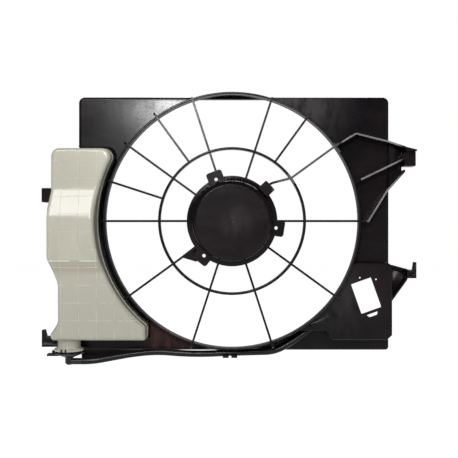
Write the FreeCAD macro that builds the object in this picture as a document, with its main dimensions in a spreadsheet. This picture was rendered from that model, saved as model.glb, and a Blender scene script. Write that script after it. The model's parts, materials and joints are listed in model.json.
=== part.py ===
import FreeCAD, Part
import math
import operator
import os
import Sketcher
from FreeCAD import Placement, Rotation, Vector

# Radiator fan shroud with a coolant reservoir, in millimetres.
# The origin is on the fan axis, in the plane where the motor bolts on. +Z is up, +X is right and +Y points
# from the engine side through the shroud to the radiator.

DRIVING = (
    ("throat_radius", 189.5, "inside of the fan collar at its front rim"),
    ("rim_radius", 192.0, "outside of the collar at its front rim"),
    ("collar_draft", 2.0, "how much wider the collar gets towards the panel"),
    ("collar_slope_depth", 26.0, "depth where the collar's outside starts to flare into its foot"),
    ("foot_radius", 198.0, "outside of the collar's foot, where the panels begin"),
    ("skirt_depth", 40.0, "back of the short skirt behind the foot"),
    ("moulding_wall", 2.5, "wall of the moulding"),
    ("panel_front", 30.0, "depth of the panel's outer face"),
    ("rim_back", 36.0, "depth where the panel's rolled edge ends and the side walls begin"),
    ("box_back", 62.0, "depth of the edge that seals on the radiator"),
    ("wall_draft", 3.0, "outward draft of the side walls"),
    ("panel_left", -234.6, "left edge of the panel"),
    ("panel_right", 240.0, "right edge of the panel"),
    ("panel_top", 190.0, "top edge of the panel"),
    ("panel_bottom", -197.0, "bottom edge of the panel"),
    ("panel_corner", 9.0, "corner radius of the panel"),
    ("low_corner", 5.0, "corner radius at the panel's lower right"),
    ("panel_edge", 4.5, "rolled edge of the panel"),
    ("bay_floor", 37.5, "depth of the recessed floor behind the reservoir"),
    ("bay_top", 113.6, "upper ledge of the reservoir bay"),
    ("bay_step", 91.0, "height where the bay's upper end runs into the collar"),
    ("bay_shoulder", -176.5, "right side of the bay's upper end"),
    ("bay_bottom", -178.0, "lower ledge of the reservoir bay"),
    ("bay_right", -124.8, "right end of the bay's lower ledge"),
    ("guard_radius", 108.0, "middle of the guard ring"),
    ("guard_width", 3.5, "radial width of the guard ring"),
    ("guard_front", -5.0, "front of the guard ring"),
    ("guard_back", 6.0, "back of the guard ring"),
    ("spoke_width", 3.2, "width of a spoke"),
    ("spoke_count", 10, "spokes that run from the guard ring to the collar"),
    ("spoke_pitch", 36.0, "angle between two long spokes, degrees"),
    ("spoke_lift", 3.0, "height of a spoke over the collar's rim"),
    ("gusset_reach", 7.0, "how far a spoke's gusset reaches outside the rim"),
    ("cup_face_radius", 53.4, "flat front of the motor cup"),
    ("cup_bevel_radius", 58.3, "outside of the bevel round the flat front"),
    ("cup_front", -32.0, "front of the motor cup"),
    ("flange_radius", 67.0, "flange round the motor cup"),
    ("flange_front", -8.0, "front of the flange"),
    ("ear_front", -10.0, "front of the motor ears"),
    ("ear_reach", 78.0, "outer end of the motor ears"),
    ("ear_width", 24.0, "width of a motor ear"),
    ("ear_angle", 9.0, "angle from the X axis to the first ear, degrees"),
    ("bolt_radius", 66.0, "motor bolts from the fan axis"),
    ("bolt_hole", 2.6, "radius of a motor bolt hole"),
    ("platform_front", 5.0, "front face of the control platform"),
    ("platform_top", -62.0, "top edge of the control platform"),
    ("platform_bottom", -178.0, "bottom edge of the control platform"),
    ("platform_left", 141.0, "left end of the platform's raised lower edge"),
    ("hose_gate", -164.0, "platform edge under which the hose passes"),
    ("window_x", 200.7, "middle of the controller window"),
    ("window_z", -111.5, "middle of the controller window"),
    ("window_width", 31.5, "width of the controller window"),
    ("window_height", 47.0, "height of the controller window"),
    ("window_tilt", 19.6, "turn of the controller window, degrees"),
    ("rib_width", 2.6, "thickness of the bracket ribs"),
    ("rib_front", 6.0, "front edge of the bracket ribs"),
    ("mount_hole", 3.3, "radius of the side mounts' bolt holes"),
    ("mount_hole_depth", 15.0, "depth of the side mounts' bolt holes, from the back"),
    ("mount_front", 14.0, "front of the side mounts"),
    ("mount_back", 36.0, "back of the side mounts"),
    ("tank_seam", 4.0, "plane where the reservoir's two shells are welded"),
    ("tank_front", -31.0, "front of the reservoir's bulge"),
    ("tank_back", 35.0, "back of the reservoir"),
    ("tank_wall", 2.2, "wall of the reservoir"),
    ("tank_top", 107.5, "top of the reservoir"),
    ("tank_bottom", -175.4, "bottom of the reservoir"),
    ("tank_left", -266.4, "left side of the reservoir's upper part"),
    ("tank_bulge", -269.8, "left side of the reservoir's bulge"),
    ("tank_waist", -255.8, "left side of the reservoir's lower part"),
    ("tank_right", -178.7, "right side of the reservoir's upper end"),
    ("tank_toe", -126.6, "right end of the reservoir's lower part"),
    ("tank_sweep", 201.0, "radius of the reservoir's side that follows the collar"),
    ("baffle_pitch", 26.0, "spacing of the baffle walls"),
    ("baffle_wall", 1.6, "thickness of the baffle walls"),
    ("neck_x", -243.6, "axis of the filler neck"),
    ("neck_y", 6.0, "axis of the filler neck"),
    ("neck_bore", 14.0, "inside of the filler neck"),
    ("neck_radius", 17.0, "outside of the filler neck"),
    ("lip_radius", 22.0, "lip of the filler neck"),
    ("lip_bottom", -193.0, "face of the neck's lip"),
    ("cap_bottom", -203.0, "underside of the filler cap"),
    ("cap_floor", -199.0, "inside of the cap's floor, where the dip tube is held"),
    ("cap_gap", 0.3, "clearance round the cap's plug"),
    ("tube_radius", 4.0, "outside of the dip tube"),
    ("tube_top", 86.0, "end of the dip tube"),
    ("hose_radius", 5.0, "outside of the overflow hose"),
    ("hose_bore", 3.2, "inside of the overflow hose"),
    ("nipple_radius", 3.0, "nipple of the filler cap"),
    ("nipple_z", -209.5, "axis of the cap's nipple"),
    ("nipple_start", 16.0, "end of the elbow's thick part, to the right of the neck's axis"),
)

SIGNS = {"+": operator.add, "-": operator.sub, "*": operator.mul, "/": operator.truediv}


class Size:
    """A number in millimetres together with the spreadsheet expression that gives it."""

    def __init__(self, number, words=None):
        self.number = float(number)
        self.words = words or f"({self.number!r})"

    def joined(self, sign, other):
        other = as_size(other)
        return Size(SIGNS[sign](self.number, other.number), f"({self.words} {sign} {other.words})")

    def __add__(self, other):
        return self.joined("+", other)

    def __sub__(self, other):
        return self.joined("-", other)

    def __mul__(self, other):
        return self.joined("*", other)

    def __truediv__(self, other):
        return self.joined("/", other)

    def __radd__(self, other):
        return as_size(other) + self

    def __rsub__(self, other):
        return as_size(other) - self

    def __rmul__(self, other):
        return as_size(other) * self

    def __neg__(self):
        return Size(0).joined("-", self)


def as_size(value):
    return value if isinstance(value, Size) else Size(value)


def mm(value):
    return as_size(value).number


class Dimensions:
    """The driving dimensions by name, each tied to its cell of the sheet."""

    def __init__(self, sheet):
        for row, (name, value, note) in enumerate(DRIVING, 1):
            sheet.set(f"A{row}", name)
            sheet.set(f"B{row}", str(value))
            sheet.setAlias(f"B{row}", name)
            sheet.set(f"C{row}", note)
            setattr(self, name, Size(value, f"dims.{name}"))


doc = FreeCAD.newDocument("radiator_fan_shroud")
dims = doc.addObject("Spreadsheet::Sheet", "dims")
d = Dimensions(dims)
doc.recompute()
nodes = []


# Small tools for bodies, sketches and features

def new_body(label):
    body = doc.addObject("PartDesign::Body", label)
    body.Label = label
    body.Placement = Placement()
    nodes.append(body)
    return body


def origin_part(body, role):
    return next(item for item in body.Origin.OriginFeatures if item.Role == role)


def new_sketch(body, plane, offset=0):
    """Sketch on an origin plane moved by offset: to depth y on XZ, height z on XY, or x on YZ."""
    sketch = body.newObject("Sketcher::SketchObject", f"{body.Name}_sketch")
    sketch.AttachmentSupport = (origin_part(body, f"{plane}_Plane"), [""])
    sketch.MapMode = "FlatFace"
    away = -as_size(offset) if plane == "XZ" else as_size(offset)
    sketch.setExpression("AttachmentOffset.Base.z", away.words)
    return sketch


def constrain(sketch, items):
    """Add constraints given as (constraint, size or None) and tie the sized ones to the sheet."""
    numbers = sketch.addConstraint([item[0] for item in items])
    for number, (_, size) in zip(numbers, items):
        if isinstance(size, Size):
            sketch.setExpression(f"Constraints[{number}]", size.words)


def tied(geometry, vertex, point):
    """Constraints that hold a vertex at a point measured from the sketch's origin."""
    names = ("DistanceX", "DistanceY")
    return [
        (Sketcher.Constraint(name, -1, 1, geometry, vertex, mm(value)), as_size(value))
        for name, value in zip(names, point)
    ]


def closed(sketch, corners):
    """Closed outline through corners given as (across, up) or (across, up, corner radius)."""
    count = len(corners)
    first = sketch.GeometryCount
    spots = [Vector(mm(corner[0]), mm(corner[1]), 0) for corner in corners]
    arrive, leave, arcs = [], [], []
    for i, corner in enumerate(corners):
        back = (spots[i - 1] - spots[i]).normalize()
        ahead = (spots[(i + 1) % count] - spots[i]).normalize()
        if len(corner) == 2:
            arrive.append(spots[i])
            leave.append(spots[i])
            arcs.append(None)
            continue
        half = back.getAngle(ahead) / 2
        radius = mm(corner[2])
        arrive.append(spots[i] + back * (radius / math.tan(half)))
        leave.append(spots[i] + ahead * (radius / math.tan(half)))
        centre = spots[i] + (back + ahead).normalize() * (radius / math.sin(half))
        arcs.append((centre, radius, back.cross(ahead).z < 0))
    lines = []
    for i in range(count):
        lines.append(Part.LineSegment(leave[i], arrive[(i + 1) % count]))
    sketch.addGeometry(lines)
    items = []
    for i, arc in enumerate(arcs):
        before, after = first + (i - 1) % count, first + i
        if arc is None:
            items.append((Sketcher.Constraint("Coincident", before, 2, after, 1), None))
            items.extend(tied(after, 1, corners[i]))
            continue
        centre, radius, left_turn = arc
        ends = [arrive[i], leave[i]] if left_turn else [leave[i], arrive[i]]
        angles = [math.atan2(end.y - centre.y, end.x - centre.x) for end in ends]
        if angles[1] < angles[0]:
            angles[1] += 2 * math.pi
        circle = Part.Circle(centre, Vector(0, 0, 1), radius)
        bend = sketch.addGeometry(Part.ArcOfCircle(circle, *angles))
        spot = sketch.addGeometry(Part.Point(spots[i]), True)
        start, end = (1, 2) if left_turn else (2, 1)
        items.append((Sketcher.Constraint("Tangent", before, 2, bend, start), None))
        items.append((Sketcher.Constraint("Tangent", bend, end, after, 1), None))
        items.append((Sketcher.Constraint("Radius", bend, radius), as_size(corners[i][2])))
        items.append((Sketcher.Constraint("PointOnObject", spot, 1, before), None))
        items.append((Sketcher.Constraint("PointOnObject", spot, 1, after), None))
        items.extend(tied(spot, 1, corners[i]))
    constrain(sketch, items)
    return sketch


def circle(sketch, across, up, radius):
    geometry = sketch.addGeometry(Part.Circle(Vector(mm(across), mm(up), 0), Vector(0, 0, 1), mm(radius)))
    items = tied(geometry, 3, (across, up))
    items.append((Sketcher.Constraint("Radius", geometry, mm(radius)), as_size(radius)))
    constrain(sketch, items)
    return sketch


def box(left, bottom, right, top, radius=None):
    """Corners of an upright rectangle, rounded if a radius is given."""
    corners = [(left, bottom), (right, bottom), (right, top), (left, top)]
    return corners if radius is None else [corner + (radius,) for corner in corners]


def feature(body, kind, sketch, settings):
    made = body.newObject(f"PartDesign::{kind}", f"{body.Name}_{kind.lower()}")
    made.Profile = sketch
    for name, value in settings.items():
        if isinstance(value, Size):
            made.setExpression(name, value.words)
        else:
            setattr(made, name, value)
    sketch.Visibility = False
    return made


def pad(body, sketch, length, **settings):
    """Pad along the plane's normal: from an XZ sketch towards the engine, -Y."""
    return feature(body, "Pad", sketch, {"Length": as_size(length), **settings})


def pocket(body, sketch, length, **settings):
    """Cut against the plane's normal: from an XZ sketch towards the radiator, +Y."""
    return feature(body, "Pocket", sketch, {"Length": as_size(length), **settings})


def turned(body, kind, corners, plane="XY"):
    """Revolution or Groove of a closed profile about the fan axis, or about Z for an XZ profile."""
    sketch = closed(new_sketch(body, plane), corners)
    return feature(body, kind, sketch, {"ReferenceAxis": (sketch, ["V_Axis"]), "Angle": 360.0})


def pattern(body, originals, count, angle, backwards=False):
    """Polar pattern about the fan axis."""
    made = body.newObject("PartDesign::PolarPattern", f"{body.Name}_pattern")
    made.Originals = originals
    made.Axis = (origin_part(body, "Y_Axis"), [""])
    made.Angle = angle
    made.Occurrences = count
    made.Reversed = backwards
    body.Tip = made
    return made


def dress(body, kind, base, wanted, size):
    """Fillet or Chamfer on the edges of base that the test picks."""
    doc.recompute()
    names = [f"Edge{i}" for i, edge in enumerate(base.Shape.Edges, 1) if wanted(edge)]
    if not names:
        raise RuntimeError(f"{body.Label}: no edge found for {kind}")
    made = body.newObject(f"PartDesign::{kind}", f"{body.Name}_{kind.lower()}")
    made.Base = (base, names)
    made.setExpression("Radius" if kind == "Fillet" else "Size", as_size(size).words)
    return made


def at_depth(depth, inside=lambda point: True):
    """Edge test: the whole edge lies at one depth and its middle passes the second test."""
    def wanted(edge):
        first, last = edge.ParameterRange
        points = [edge.valueAt(first + (last - first) * part) for part in (0.02, 0.35, 0.5, 0.98)]
        flat = all(abs(point.y - mm(depth)) < 0.01 for point in points)
        return flat and inside(points[2])
    return wanted


def upright(*places):
    """Edge test: a straight edge along Y at one of the places (x, z)."""
    def wanted(edge):
        if len(edge.Vertexes) < 2:
            return False
        start, end = edge.Vertexes[0].Point, edge.Vertexes[1].Point
        if abs(start.x - end.x) > 0.01 or abs(start.z - end.z) > 0.01:
            return False
        return any(abs(start.x - x) < 0.6 and abs(start.z - z) < 0.6 for x, z in places)
    return wanted


def hoop(radius, depth):
    """Edge test: a circle about the fan axis."""
    def wanted(edge):
        curve = edge.Curve
        if not isinstance(curve, Part.Circle):
            return False
        return abs(curve.Radius - mm(radius)) < 0.01 and abs(curve.Center.y - mm(depth)) < 0.01
    return wanted


def web(body, corners, front, back):
    """Flat plate with corners given as (x, z), from one depth to another."""
    outline = closed(new_sketch(body, "XZ", back), [(as_size(x), as_size(z)) for x, z in corners])
    return pad(body, outline, as_size(back) - front)


# Fan collar

MOUTH_BEVEL = 3


def collar_outside():
    """Outer line of the collar from its rim to the back of its skirt, as (radius, depth)."""
    return [
        (d.rim_radius, 0),
        (d.rim_radius + d.collar_draft, d.collar_slope_depth),
        (d.foot_radius, d.panel_front),
        (d.foot_radius, d.skirt_depth),
    ]


def collar_inside():
    skirt = d.foot_radius - d.moulding_wall
    step = d.panel_front + d.moulding_wall
    return [
        (skirt, d.skirt_depth),
        (skirt, step),
        (d.throat_radius + d.collar_draft + MOUTH_BEVEL, step),
        (d.throat_radius + d.collar_draft, step - MOUTH_BEVEL),
        (d.throat_radius, 1),
        (d.throat_radius + 1, 0),
    ]


def clear_collar(body):
    """Cut a body back to the outside of the collar."""
    front, axis = as_size(-20), as_size(0)
    profile = [(axis, front), (d.rim_radius, front)] + collar_outside() + [(axis, d.skirt_depth)]
    return turned(body, "Groove", profile)


def make_collar():
    body = new_body("fan_collar")
    turned(body, "Revolution", collar_outside() + collar_inside())


# Panels, bay and side walls

def panel_half(label, start, end):
    """One side of the front panel with its rolled outer edge, before its openings."""
    body = new_body(label)
    depth = d.rim_back - d.panel_front
    plate = pad(body, closed(new_sketch(body, "XZ", d.rim_back), box(start, d.panel_bottom, end, d.panel_top)), depth)
    outer = mm(start) if abs(mm(start)) > abs(mm(end)) else mm(end)
    low_radius = d.panel_corner if outer < 0 else d.low_corner
    upper = dress(body, "Fillet", plate, upright((outer, mm(d.panel_top))), d.panel_corner)
    rounded = dress(body, "Fillet", upper, upright((outer, mm(d.panel_bottom))), low_radius)
    rolled = at_depth(d.panel_front, lambda point: abs(point.x) > 0.5)
    dress(body, "Fillet", rounded, rolled, d.panel_edge)
    wall = d.moulding_wall
    inner = closed(
        new_sketch(body, "XZ", d.panel_front + wall),
        box(
            as_size(start) + (wall if outer < 0 else -10),
            d.panel_bottom + wall,
            as_size(end) + (10 if outer < 0 else -wall),
            d.panel_top - wall,
            d.panel_corner - wall,
        ),
    )
    pocket(body, inner, depth)
    pocket(body, circle(new_sketch(body, "XZ", d.panel_front - 1), 0, 0, d.foot_radius), depth + 2)
    return body


def bay_corners(grow, left):
    """Outline of the reservoir bay, grown by a wall on its ledges; its right part lies inside the collar."""
    grow = as_size(grow)
    return [
        (left, d.bay_bottom - grow),
        (d.bay_right + grow, d.bay_bottom - grow),
        (d.bay_right + grow, as_size(-150)),
        (as_size(-100), as_size(0)),
        (as_size(-160), d.bay_step + grow),
        (d.bay_shoulder + grow, d.bay_step + grow),
        (d.bay_shoulder + grow, d.bay_top + grow, 14),
        (left, d.bay_top + grow),
    ]


def make_left_panel():
    body = panel_half("left_panel", d.panel_left, as_size(0))
    past = d.panel_left - 5
    depth = d.rim_back - d.panel_front + 2
    pocket(body, closed(new_sketch(body, "XZ", d.panel_front - 1), bay_corners(0, past)), depth)
    behind = new_sketch(body, "XZ", d.panel_front + d.moulding_wall)
    pocket(body, closed(behind, bay_corners(d.moulding_wall, past)), depth)


def make_right_panel():
    body = panel_half("right_panel", as_size(0), d.panel_right)
    hollow = platform_corners(d.moulding_wall)
    pocket(body, closed(new_sketch(body, "XZ", d.panel_front - 1), hollow), d.rim_back - d.panel_front + 2)


def make_bay():
    body = new_body("tank_bay")
    start = d.panel_front + d.moulding_wall
    depth = d.bay_floor + d.moulding_wall - start
    pad(body, closed(new_sketch(body, "XZ", start + depth), bay_corners(d.moulding_wall, d.panel_left)), depth)
    pocket(body, closed(new_sketch(body, "XZ", start), bay_corners(0, d.panel_left - 5)), d.bay_floor - start)
    clear_collar(body)
    for height in (70, 0, -70, -140):
        rib = closed(new_sketch(body, "XZ", d.bay_floor), box(as_size(-230), height, as_size(-206), height + 2.5))
        pad(body, rib, 1)


def wall_loft(body, kind, inset):
    """Drafted rectangle from the panel's rim to the radiator, as a solid or as the space inside it."""
    sections = []
    radii = [d.panel_corner, d.low_corner, d.panel_corner, d.panel_corner]
    for depth, grow in ((d.rim_back, as_size(0)), (d.box_back, d.wall_draft)):
        out = grow - inset
        corners = box(d.panel_left - out, d.panel_bottom - out, d.panel_right + out, d.panel_top + out)
        rounded = [corner + (radius,) for corner, radius in zip(corners, radii)]
        sections.append(closed(new_sketch(body, "XZ", depth), rounded))
    made = body.newObject(f"PartDesign::{kind}", f"{body.Name}_{kind.lower()}")
    made.Profile = sections[0]
    made.Sections = [sections[1]]
    made.Ruled = True
    return made


def make_side_walls():
    body = new_body("side_walls")
    skirt = d.foot_radius - d.moulding_wall
    back = d.rim_back + d.moulding_wall
    # crown that closes the gap between the collar and the straight top wall
    crown = box(as_size(-60), d.panel_top - d.moulding_wall, as_size(60), d.foot_radius)
    pad(body, closed(new_sketch(body, "XZ", back), crown), d.moulding_wall)
    outside = [(skirt, d.rim_back - 1), (as_size(260), d.rim_back - 1), (as_size(260), back + 1), (skirt, back + 1)]
    turned(body, "Groove", outside)
    wall_loft(body, "AdditiveLoft", as_size(0))
    wall_loft(body, "SubtractiveLoft", d.moulding_wall)
    notch = box(skirt, d.rim_back - 1, d.foot_radius, d.skirt_depth)
    turned(body, "Groove", notch)
    left = d.panel_left
    gap = box(left - 6, d.bay_bottom - d.moulding_wall, left + 5, d.bay_top + d.moulding_wall)
    pocket(body, closed(new_sketch(body, "XZ", d.rim_back - 1), gap), d.skirt_depth - d.rim_back + 1)
    # flange under the lower wall, behind the hose
    top = d.panel_bottom + 1
    flange = ((-231, top), (-231, -211), (-203, -210), (-162, -201), (-140, -198.5), (-140, top))
    web(body, flange, d.rim_back, back)


# Guard ring and spokes

def guard_box():
    half = d.guard_width / 2
    return box(d.guard_radius - half, d.guard_front, d.guard_radius + half, d.guard_back)


def make_guard_ring():
    body = new_body("guard_ring")
    ring = turned(body, "Revolution", guard_box())
    inner = d.guard_radius - d.guard_width / 2
    outer = d.guard_radius + d.guard_width / 2
    front = dress(body, "Chamfer", ring, hoop(inner, d.guard_front), 0.5)
    dress(body, "Chamfer", front, hoop(outer, d.guard_front), 0.5)


def blade(body, profile, angle=0):
    """A thin blade given as (radius, depth) corners, turned from +X towards +Z by an angle."""
    sketch = closed(new_sketch(body, "XY"), profile)
    sketch.AttachmentOffset = Placement(Vector(), Rotation(Vector(0, 1, 0), -angle))
    return pad(body, sketch, d.spoke_width, Midplane=True)


def outer_profile():
    """Spoke from the guard ring over the collar's rim to its gusset."""
    inner = d.guard_radius
    top = -d.spoke_lift
    tip = d.rim_radius + d.gusset_reach
    return [
        (inner, d.guard_front + 0.5),
        (d.rim_radius + 1, top),
        (tip - 2, top + 1.5),
        (tip, as_size(2)),
        (tip - 1, as_size(6)),
        (d.rim_radius, as_size(15)),
        (d.throat_radius + 1, as_size(15)),
        (d.throat_radius - 4, as_size(9)),
        (inner, d.guard_back - 0.5),
    ]


def trim_ring_side(body):
    """Cut blades back to the guard ring's outer face."""
    inner = d.guard_radius - 5
    outer = d.guard_radius + d.guard_width / 2
    turned(body, "Groove", box(inner, as_size(-15), outer, as_size(20)))


def trim_at_collar(body):
    turned(body, "Groove", collar_outside() + collar_inside())


def clear_spoke(body, turn):
    """Cut room for the outer end of the long spoke that stands at a number of pitches from +X."""
    tip = d.rim_radius + d.gusset_reach + 0.2
    sketch = closed(new_sketch(body, "XY"), box(d.throat_radius, as_size(-5), tip, as_size(15.2)))
    angle = turn * mm(d.spoke_pitch)
    sketch.AttachmentOffset = Placement(Vector(), Rotation(Vector(0, 1, 0), -angle))
    pocket(body, sketch, d.spoke_width, Midplane=True)


def make_outer_spokes():
    body = new_body("outer_spokes")
    first = blade(body, outer_profile())
    pattern(body, [first], int(mm(d.spoke_count)), 360.0)
    trim_ring_side(body)
    trim_at_collar(body)
    # no gusset stands out over the rim at the top
    above = box(as_size(-80), as_size(184), as_size(80), as_size(205))
    pocket(body, closed(new_sketch(body, "XZ", -5), above), 21)


def make_short_spokes():
    """Extra spokes half way between long ones, in the upper part of the opening only."""
    body = new_body("short_spokes")
    for place in (1.5, 3.5, 4.5):
        blade(body, outer_profile(), place * mm(d.spoke_pitch))
    trim_ring_side(body)
    trim_at_collar(body)


def ear_sketch(body, depth):
    """Outline of a motor ear on its own slanted line, at a depth."""
    half = d.ear_width / 2
    corners = [
        (as_size(58), -half),
        (d.ear_reach, -half, 4),
        (d.ear_reach, half, 4),
        (as_size(58), half),
    ]
    sketch = closed(new_sketch(body, "XZ", depth), corners)
    sketch.AttachmentOffset = Placement(Vector(0, 0, -mm(depth)), Rotation(Vector(0, 0, 1), -mm(d.ear_angle)))
    return sketch


def make_inner_spokes():
    """Spokes from the motor cup to the guard ring, all but the one that carries the cable."""
    body = new_body("inner_spokes")
    outer = d.guard_radius
    profile = [
        (as_size(60), as_size(-6)),
        (outer, d.guard_front + 0.5),
        (outer, d.guard_back - 0.5),
        (as_size(60), as_size(7)),
    ]
    first = blade(body, profile)
    pattern(body, [first], 9, 8 * mm(d.spoke_pitch))
    # flat web from the spoke at 216 degrees to the ear beside it
    web_corners = (-76.5, -53.5), (-56, -37.5), (-40, -48), (-53, -60.5)
    web(body, web_corners, -3, 0)
    turned(body, "Groove", box(as_size(0), as_size(-20), d.flange_radius, as_size(20)))
    edge = d.guard_radius - d.guard_width / 2
    turned(body, "Groove", box(edge, as_size(-20), edge + 10, as_size(20)))
    ears = pocket(body, ear_sketch(body, as_size(-15)), 30)
    pattern(body, [ears], 3, 360.0)


def make_cable_spoke():
    """Spoke that leaves the guard ring at 36 degrees and bends aside to the cable outlet."""
    body = new_body("cable_spoke")
    path = ((47.0, 50.6), (60.5, 56.8), (88.0, 64.0))
    sides = [[], []]
    for side, away in zip(sides, (1, -1)):
        for i, (x, z) in enumerate(path):
            before, after = path[max(i - 1, 0)], path[min(i + 1, 2)]
            run = Vector(after[0] - before[0], after[1] - before[1], 0).normalize()
            side.append((d.spoke_width / 2 * (-run.y * away) + x, d.spoke_width / 2 * (run.x * away) + z))
    sketch = closed(new_sketch(body, "XZ", 6), sides[0] + sides[1][::-1])
    pad(body, sketch, 11)
    edge = d.guard_radius - d.guard_width / 2
    turned(body, "Groove", box(edge, as_size(-20), edge + 20, as_size(20)))
    turned(body, "Groove", box(as_size(0), as_size(-20), d.flange_radius + 7, as_size(20)))


# Motor cup

def cup_outside():
    wall_back = d.flange_front
    return [
        (as_size(0), d.cup_front),
        (d.cup_face_radius - 1, d.cup_front),
        (d.cup_face_radius + 0.6, d.cup_front + 0.5),
        (d.cup_bevel_radius - 0.5, d.cup_front + 4.4),
        (d.cup_bevel_radius + 0.1, d.cup_front + 6),
        (d.cup_bevel_radius + 2, wall_back),
        (d.flange_radius, wall_back),
        (d.flange_radius, as_size(0)),
    ]


def cup_inside():
    wall = d.moulding_wall
    return [
        (d.flange_radius - wall, as_size(0)),
        (d.flange_radius - wall, d.flange_front + wall),
        (d.cup_bevel_radius - 0.3, d.flange_front + wall),
        (d.cup_bevel_radius - wall, d.cup_front + 6),
        (d.cup_face_radius - 1, d.cup_front + wall),
        (as_size(0), d.cup_front + wall),
    ]


def make_motor_cup():
    body = new_body("motor_cup")
    cup = turned(body, "Revolution", cup_outside() + cup_inside())
    ear = pad(body, ear_sketch(body, as_size(0)), -d.ear_front)
    ears = pattern(body, [ear], 3, 360.0)
    hole_sketch = circle(new_sketch(body, "XZ", d.ear_front - 1), d.bolt_radius, 0, d.bolt_hole)
    turn = Rotation(Vector(0, 0, 1), -mm(d.ear_angle))
    hole_sketch.AttachmentOffset = Placement(Vector(0, 0, 1 - mm(d.ear_front)), turn)
    hole = pocket(body, hole_sketch, 1 - d.ear_front + 1)
    pattern(body, [hole], 3, 360.0)
    gate = closed(new_sketch(body, "XY"), [
        (as_size(0), d.cup_front - 1),
        (as_size(3.5), d.cup_front - 1),
        (as_size(2.5), d.cup_front + 0.8),
        (as_size(0), d.cup_front + 0.8),
    ])
    feature(body, "Groove", gate, {"ReferenceAxis": (gate, ["V_Axis"]), "Angle": 360.0})


def make_cable_outlet():
    """Hood on the cup's flange where the motor's cable comes out."""
    body = new_body("cable_outlet")
    turn = Rotation(Vector(0, 0, 1), 43)
    half = 9.5
    hood = closed(new_sketch(body, "XZ", -8), box(as_size(61.5), as_size(-half), as_size(77), as_size(half), 2))
    hood.AttachmentOffset = Placement(Vector(0, 0, 8), turn)
    block = pad(body, hood, 11)
    channel = closed(new_sketch(body, "XZ", -17), box(as_size(58), as_size(-half + 2.4), as_size(80), as_size(half - 2.4)))
    channel.AttachmentOffset = Placement(Vector(0, 0, 17), turn)
    pocket(body, channel, 10)


# Control platform

def platform_corners(inset):
    """Outline of the platform, drawn in by inset; its left part lies inside the collar."""
    inset = as_size(inset)
    low = d.platform_bottom + inset
    gate = d.hose_gate + inset
    right = d.panel_right - inset
    return [
        (as_size(165), d.platform_top - inset),
        (as_size(95), d.platform_top - inset),
        (as_size(95), gate),
        (d.platform_left + inset * 0.55, gate, 4),
        (d.platform_left + 9 + inset * 0.55, low, 6),
        (right - 7.5 + inset * 0.4, low),
        (right, d.platform_bottom + 7 + inset * 0.4),
        (right, d.platform_top - inset, 10),
    ]


def slanted(body, depth, corners):
    """Closed sketch turned and centred on the controller window."""
    sketch = closed(new_sketch(body, "XZ", depth), corners)
    centre = Vector(mm(d.window_x), mm(d.window_z), -mm(depth))
    sketch.AttachmentOffset = Placement(centre, Rotation(Vector(0, 0, 1), mm(d.window_tilt)))
    return sketch


def make_platform():
    body = new_body("control_platform")
    depth = d.panel_front - d.platform_front
    block = pad(body, closed(new_sketch(body, "XZ", d.panel_front), platform_corners(0)), depth)
    edge = at_depth(d.platform_front, lambda point: point.x > 100 and math.hypot(point.x, point.z) > 196)
    dress(body, "Fillet", block, edge, 3)
    under = closed(new_sketch(body, "XZ", d.platform_front + d.moulding_wall), platform_corners(d.moulding_wall))
    pocket(body, under, depth)
    clear_collar(body)
    front = d.platform_front - 6
    half_width, half_height = d.window_width / 2, d.window_height / 2
    window = box(-half_width, -half_height, half_width, half_height, 1.5)
    pocket(body, slanted(body, front, window), 12)
    slot = [
        (as_size(-5.9), -half_height - 8.8, 2),
        (as_size(6.1), -half_height - 8.8, 2),
        (as_size(8.6), -half_height - 4.2),
        (as_size(-8.9), -half_height - 4.2),
    ]
    pocket(body, slanted(body, front, slot), 12)
    for across, up in ((0, 28.5), (22, 18)):
        hole = circle(new_sketch(body, "XZ", front), across, up, 1.3)
        centre = Vector(mm(d.window_x), mm(d.window_z), -mm(front))
        hole.AttachmentOffset = Placement(centre, Rotation(Vector(0, 0, 1), mm(d.window_tilt)))
        pocket(body, hole, 12)
    bead = [
        (as_size(119), as_size(-160.5)),
        (as_size(146.5), as_size(-146), 4),
        (as_size(154), as_size(-147.5), 4),
        (as_size(166.5), as_size(-163)),
        (as_size(170), as_size(-161)),
        (as_size(156.5), as_size(-143.5), 6),
        (as_size(145), as_size(-141.5), 6),
        (as_size(117), as_size(-157)),
    ]
    pad(body, closed(new_sketch(body, "XZ", d.platform_front), bead), 2.2)
    # gate in the lower wall, where the hose goes in under the platform
    gate = closed(new_sketch(body, "XZ", 14), box(as_size(104), d.hose_gate - 3, as_size(134), d.hose_gate + 4))
    pocket(body, gate, 17)
    clear_spoke(body, -1)


# Brackets and mounts

def rib(body, path, front, back):
    """Upright walls along a path of (x, z) points."""
    for start, end in zip(path, path[1:]):
        run = Vector(end[0] - start[0], end[1] - start[1], 0).normalize()
        side = (d.rib_width / 2 * -run.y, d.rib_width / 2 * run.x)
        corners = [
            (side[0] + start[0], side[1] + start[1]),
            (-side[0] + start[0], -side[1] + start[1]),
            (-side[0] + end[0], -side[1] + end[1]),
            (side[0] + end[0], side[1] + end[1]),
        ]
        pad(body, closed(new_sketch(body, "XZ", back), corners), as_size(back) - front)


def fit_between(body, edge, depth):
    """Cut a bracket back to the panel's right edge, and flush with the left face of its mount."""
    beyond = box(as_size(edge), as_size(-200), as_size(edge + 30), as_size(200))
    pocket(body, closed(new_sketch(body, "XZ", 0), beyond), d.box_back)
    inside = box(as_size(100), as_size(-130), d.panel_right, as_size(150))
    pocket(body, closed(new_sketch(body, "XZ", depth), inside), d.box_back)


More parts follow.
